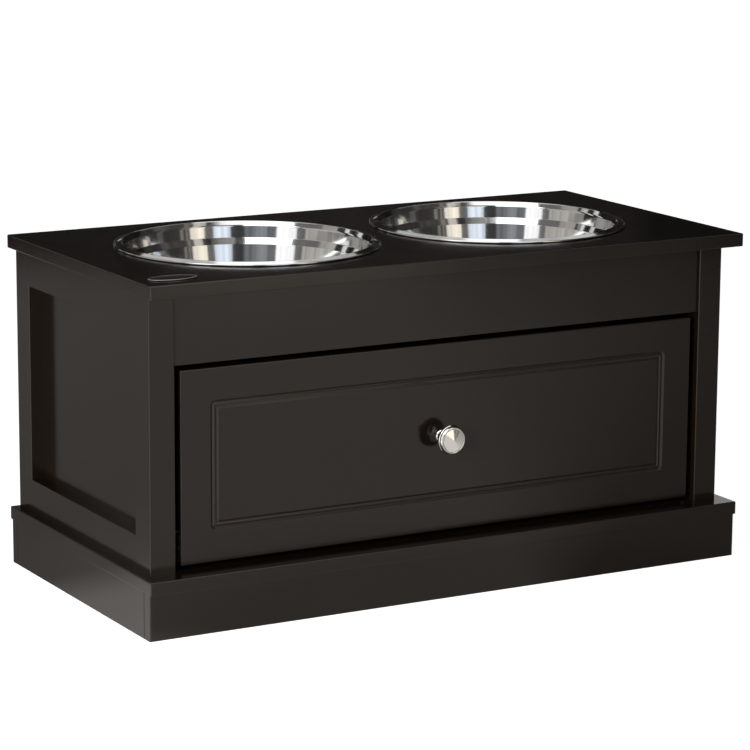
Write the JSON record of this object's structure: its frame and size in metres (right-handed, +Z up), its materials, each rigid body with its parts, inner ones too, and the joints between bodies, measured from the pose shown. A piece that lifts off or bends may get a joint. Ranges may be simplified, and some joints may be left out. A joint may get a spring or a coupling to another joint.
{
  "type": "elevated dog feeder with storage drawer",
  "caption": "Raised pet feeding station: a dark lacquered cabinet with lift-out steel bowls set in its top and a wide storage drawer on roller runners.",
  "frame": {"origin": "on the floor, under the middle of the feeder's footprint", "axes": "+X to the right as seen from the drawer side, +Y to the back, +Z up"},
  "size_m": [0.602, 0.302, 0.3089],
  "materials": {
    "espresso_lacquer": "satin espresso-brown lacquer on 12 mm fibreboard",
    "drawer_laminate": "matt espresso foil on fibreboard",
    "dark_hardboard": "thin hardboard, dark painted face",
    "raw_pine": "sawn softwood glue blocks",
    "beech_dowel": "plain beech",
    "stainless_steel": "polished stainless steel, fine spun lines",
    "satin_nickel": "satin nickel, turned",
    "plate_bronze": "dark satin plate with a bright rim, bare",
    "zinc_steel": "zinc-plated steel",
    "zinc_diecast": "die-cast zinc",
    "runner_epoxy": "cream epoxy-coated steel",
    "nylon": "moulded white nylon"
  },
  "bodies": {
    "cabinet": {"top_panel": "espresso_lacquer", "base_board": "espresso_lacquer", "plinth_front": "espresso_lacquer", "plinth_back": "espresso_lacquer", "plinth_side_left": "espresso_lacquer", "plinth_side_right": "espresso_lacquer", "plinth_corner_blocks": "raw_pine", "plinth_dowels": "beech_dowel", "plinth_block_screws": "zinc_steel", "base_screws": "zinc_steel", "leg_front_left": "espresso_lacquer", "leg_front_right": "espresso_lacquer", "leg_back_left": "espresso_lacquer", "leg_back_right": "espresso_lacquer", "side_top_rail_left": "espresso_lacquer", "side_top_rail_right": "espresso_lacquer", "side_bottom_rail_left": "espresso_lacquer", "side_bottom_rail_right": "espresso_lacquer", "side_panel_left": "espresso_lacquer", "side_panel_right": "espresso_lacquer", "front_apron": "espresso_lacquer", "back_top_rail": "espresso_lacquer", "back_panel": "dark_hardboard", "back_panel_screws": "zinc_steel", "frame_dowels": "beech_dowel", "top_dowels": "beech_dowel", "oval_plate": "plate_bronze", "runner_cabinet_left": "runner_epoxy", "runner_cabinet_right": "runner_epoxy", "front_roller_pins": "zinc_steel", "cabinet_runner_screws": "zinc_steel"},
    "drawer": {"drawer_front": "espresso_lacquer", "drawer_side_left": "drawer_laminate", "drawer_side_right": "drawer_laminate", "drawer_back": "drawer_laminate", "drawer_bottom": "dark_hardboard", "runner_drawer_left": "runner_epoxy", "runner_drawer_right": "runner_epoxy", "rear_roller_pins": "zinc_steel", "drawer_runner_screws": "zinc_steel", "drawer_cam_bolts": "zinc_steel", "drawer_cam_locks": "zinc_diecast", "drawer_dowels": "beech_dowel", "drawer_back_screws": "zinc_steel", "drawer_bottom_screws": "zinc_steel", "knob": "satin_nickel", "knob_screw": "zinc_steel"},
    "front_roller_left": {"front_roller_left": "nylon"},
    "rear_roller_left": {"rear_roller_left": "nylon"},
    "bowl_left": {"bowl_left": "stainless_steel"},
    "front_roller_right": {"front_roller_right": "nylon"},
    "rear_roller_right": {"rear_roller_right": "nylon"},
    "bowl_right": {"bowl_right": "stainless_steel"}
  },
  "joints": [
    {"name": "drawer_slide", "type": "slide", "parent": "cabinet", "child": "drawer", "axis": [0, -1, 0], "range_m": [0, 0.185]},
    {"name": "bowl_left_lift", "type": "slide", "parent": "cabinet", "child": "bowl_left", "axis": [0, 0, 1], "range_m": [0, 0.1]},
    {"name": "bowl_right_lift", "type": "slide", "parent": "cabinet", "child": "bowl_right", "axis": [0, 0, 1], "range_m": [0, 0.1]},
    {"name": "front_roller_left_spin", "type": "hinge", "parent": "cabinet", "child": "front_roller_left", "pos_m": [-0.26175, -0.094, 0.074], "axis": [1, 0, 0], "continuous": true},
    {"name": "rear_roller_left_spin", "type": "hinge", "parent": "drawer", "child": "rear_roller_left", "pos_m": [-0.25965, 0.115, 0.067], "axis": [1, 0, 0], "continuous": true},
    {"name": "front_roller_right_spin", "type": "hinge", "parent": "cabinet", "child": "front_roller_right", "pos_m": [0.26175, -0.094, 0.074], "axis": [1, 0, 0], "continuous": true},
    {"name": "rear_roller_right_spin", "type": "hinge", "parent": "drawer", "child": "rear_roller_right", "pos_m": [0.25965, 0.115, 0.067], "axis": [1, 0, 0], "continuous": true}
  ],
  "couplings": [
    {"joint": "front_roller_left_spin", "follows": "drawer_slide", "rad_per_m": 117.65},
    {"joint": "rear_roller_left_spin", "follows": "drawer_slide", "rad_per_m": 117.65},
    {"joint": "front_roller_right_spin", "follows": "drawer_slide", "rad_per_m": 117.65},
    {"joint": "rear_roller_right_spin", "follows": "drawer_slide", "rad_per_m": 117.65}
  ]
}
